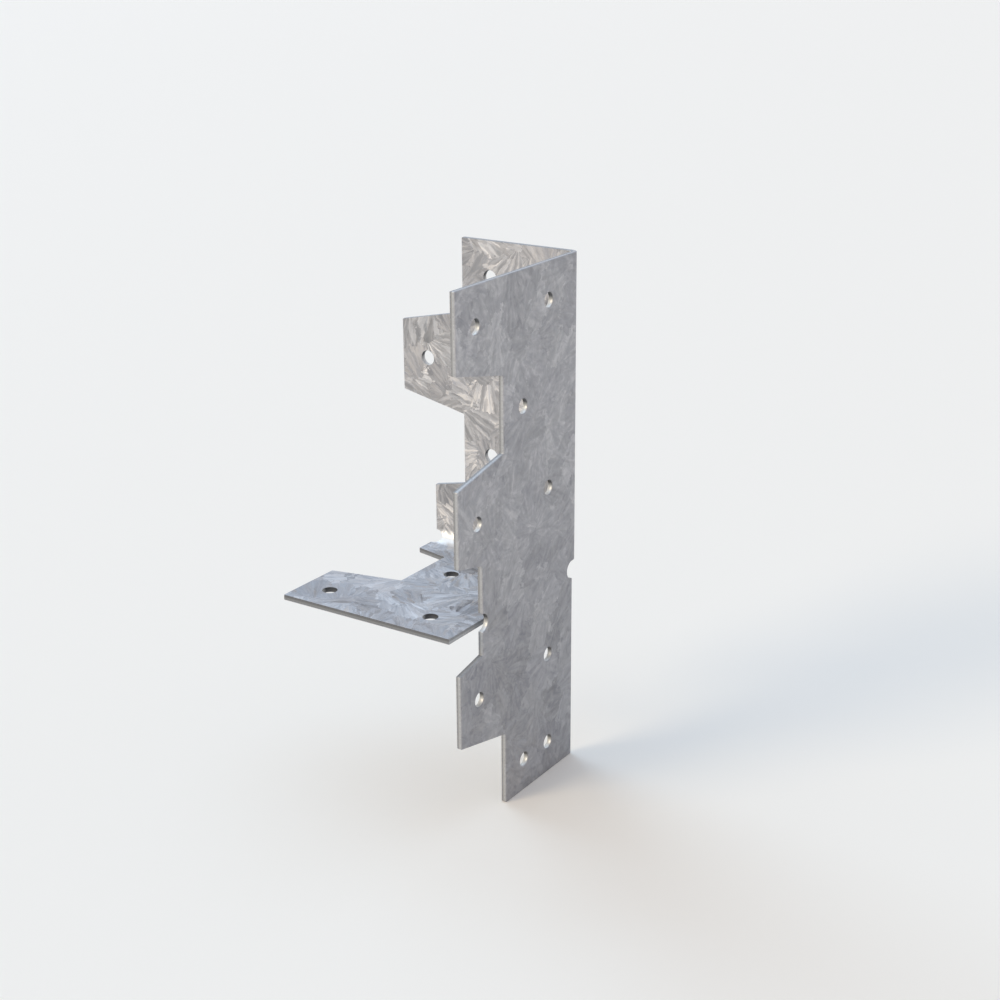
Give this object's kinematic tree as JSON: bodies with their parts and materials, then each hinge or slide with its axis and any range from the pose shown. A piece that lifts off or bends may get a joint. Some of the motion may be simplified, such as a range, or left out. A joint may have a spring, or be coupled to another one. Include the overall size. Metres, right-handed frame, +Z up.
{
  "type": "framing angle",
  "caption": "Stamped and folded steel framing angle with stepped flanges at a right angle and a flap folded out level part way up, punched with nail holes, for joining crossing timbers.",
  "frame": {"origin": "the corner the angle is pushed into: where the beam's side (X = 0), the crossing timber's side (Y = 0) and the beam's top (Z = 0) meet, as installed", "axes": "+Z up along the fold between the flanges; +Y into the crossing timber, square to the back flange; +X out of the beam's side, square to the front flange"},
  "size_m": [0.045, 0.0456, 0.1143],
  "materials": {
    "galvanised_steel": "hot-dip galvanised, satin, with a leafy grey spangle"
  },
  "bodies": {
    "root": {"framing_angle": "galvanised_steel"}
  },
  "joints": []
}
